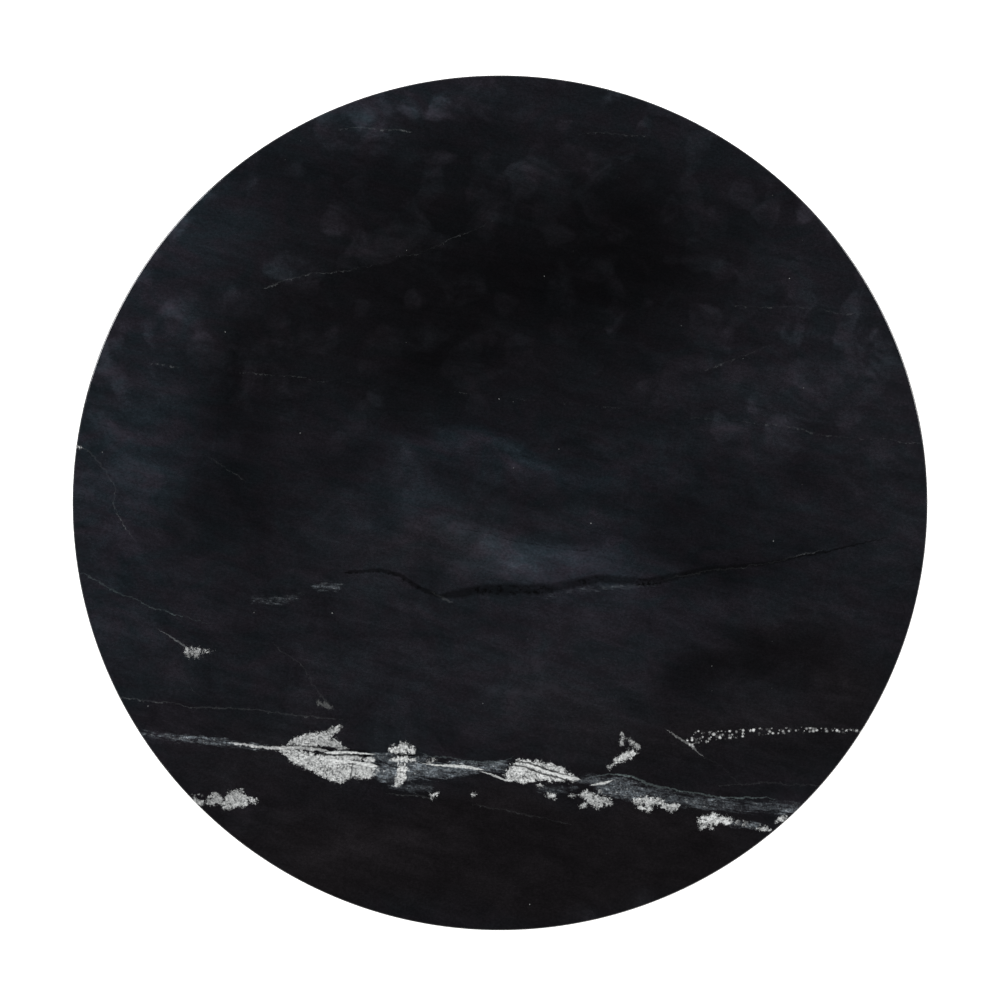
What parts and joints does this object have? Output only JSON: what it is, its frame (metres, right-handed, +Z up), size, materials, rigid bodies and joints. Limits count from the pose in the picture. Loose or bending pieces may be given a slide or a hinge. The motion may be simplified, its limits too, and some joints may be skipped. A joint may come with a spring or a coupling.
{
  "type": "round pedestal table",
  "caption": "Round table with a polished black marble top on a steel column and a domed cast-iron base with levelling feet.",
  "frame": {"origin": "on the floor, under the middle of the table", "axes": "+Z up; the slab's pale band runs roughly along X, on the -Y side of the middle"},
  "size_m": [1.2198, 1.22, 0.76],
  "materials": {
    "black_marble": "polished near-black marble with grey-white veins",
    "resin_net": "glass-fibre net set in clear resin",
    "birch_plywood": "sealed birch plywood",
    "brass": "turned",
    "zinc_plated_steel": "zinc plated",
    "black_oxide_steel": "black oxide",
    "powder_coated_steel": "fine satin black powder coat",
    "painted_aluminium": "satin black paint on a casting",
    "painted_cast_iron": "satin black paint on a sand casting",
    "nylon": "moulded black nylon",
    "sole_rubber": "moulded"
  },
  "bodies": {
    "table": {"stone_top": "black_marble", "backing_net": "resin_net", "sub_top": "birch_plywood", "sub_top_inserts": "brass", "top_washers": "zinc_plated_steel", "top_screws": "zinc_plated_steel", "support_arm_1": "powder_coated_steel", "support_arm_2": "powder_coated_steel", "support_arm_3": "powder_coated_steel", "support_arm_4": "powder_coated_steel", "arm_screws": "black_oxide_steel", "hub_plate": "powder_coated_steel", "column_tube": "powder_coated_steel", "upper_collar": "painted_aluminium", "lower_collar": "painted_aluminium", "collar_set_screws": "black_oxide_steel", "tie_rod": "zinc_plated_steel", "upper_flat_washer": "zinc_plated_steel", "upper_spring_washer": "zinc_plated_steel", "upper_tie_nut": "zinc_plated_steel", "lower_flat_washer": "zinc_plated_steel", "lower_spring_washer": "zinc_plated_steel", "lower_tie_nut": "zinc_plated_steel", "base_casting": "painted_cast_iron", "base_cover": "powder_coated_steel", "cover_screws": "black_oxide_steel"},
    "foot_pad_1": {"leveller_pad_1": "nylon", "leveller_sole_1": "sole_rubber"},
    "foot_stud_1": {"leveller_stud_1": "zinc_plated_steel"},
    "foot_pad_2": {"leveller_pad_2": "nylon", "leveller_sole_2": "sole_rubber"},
    "foot_stud_2": {"leveller_stud_2": "zinc_plated_steel"},
    "foot_pad_3": {"leveller_pad_3": "nylon", "leveller_sole_3": "sole_rubber"},
    "foot_stud_3": {"leveller_stud_3": "zinc_plated_steel"},
    "foot_pad_4": {"leveller_pad_4": "nylon", "leveller_sole_4": "sole_rubber"},
    "foot_stud_4": {"leveller_stud_4": "zinc_plated_steel"}
  },
  "joints": [
    {"name": "foot_travel_1", "type": "slide", "parent": "table", "child": "foot_pad_1", "axis": [0, 0, 1], "range_m": [-0.01, 0.006]},
    {"name": "foot_turn_1", "type": "hinge", "parent": "foot_pad_1", "child": "foot_stud_1", "pos_m": [0.22274, 0.22274, 0.0095], "axis": [0, 0, 1], "range_deg": [-2400, 1440]},
    {"name": "foot_travel_2", "type": "slide", "parent": "table", "child": "foot_pad_2", "axis": [0, 0, 1], "range_m": [-0.01, 0.006]},
    {"name": "foot_turn_2", "type": "hinge", "parent": "foot_pad_2", "child": "foot_stud_2", "pos_m": [-0.22274, 0.22274, 0.0095], "axis": [0, 0, 1], "range_deg": [-2400, 1440]},
    {"name": "foot_travel_3", "type": "slide", "parent": "table", "child": "foot_pad_3", "axis": [0, 0, 1], "range_m": [-0.01, 0.006]},
    {"name": "foot_turn_3", "type": "hinge", "parent": "foot_pad_3", "child": "foot_stud_3", "pos_m": [-0.22274, -0.22274, 0.0095], "axis": [0, 0, 1], "range_deg": [-2400, 1440]},
    {"name": "foot_travel_4", "type": "slide", "parent": "table", "child": "foot_pad_4", "axis": [0, 0, 1], "range_m": [-0.01, 0.006]},
    {"name": "foot_turn_4", "type": "hinge", "parent": "foot_pad_4", "child": "foot_stud_4", "pos_m": [0.22274, -0.22274, 0.0095], "axis": [0, 0, 1], "range_deg": [-2400, 1440]}
  ],
  "couplings": [
    {"joint": "foot_turn_1", "follows": "foot_travel_1", "rad_per_m": 4188.8},
    {"joint": "foot_turn_2", "follows": "foot_travel_2", "rad_per_m": 4188.8},
    {"joint": "foot_turn_3", "follows": "foot_travel_3", "rad_per_m": 4188.8},
    {"joint": "foot_turn_4", "follows": "foot_travel_4", "rad_per_m": 4188.8}
  ]
}
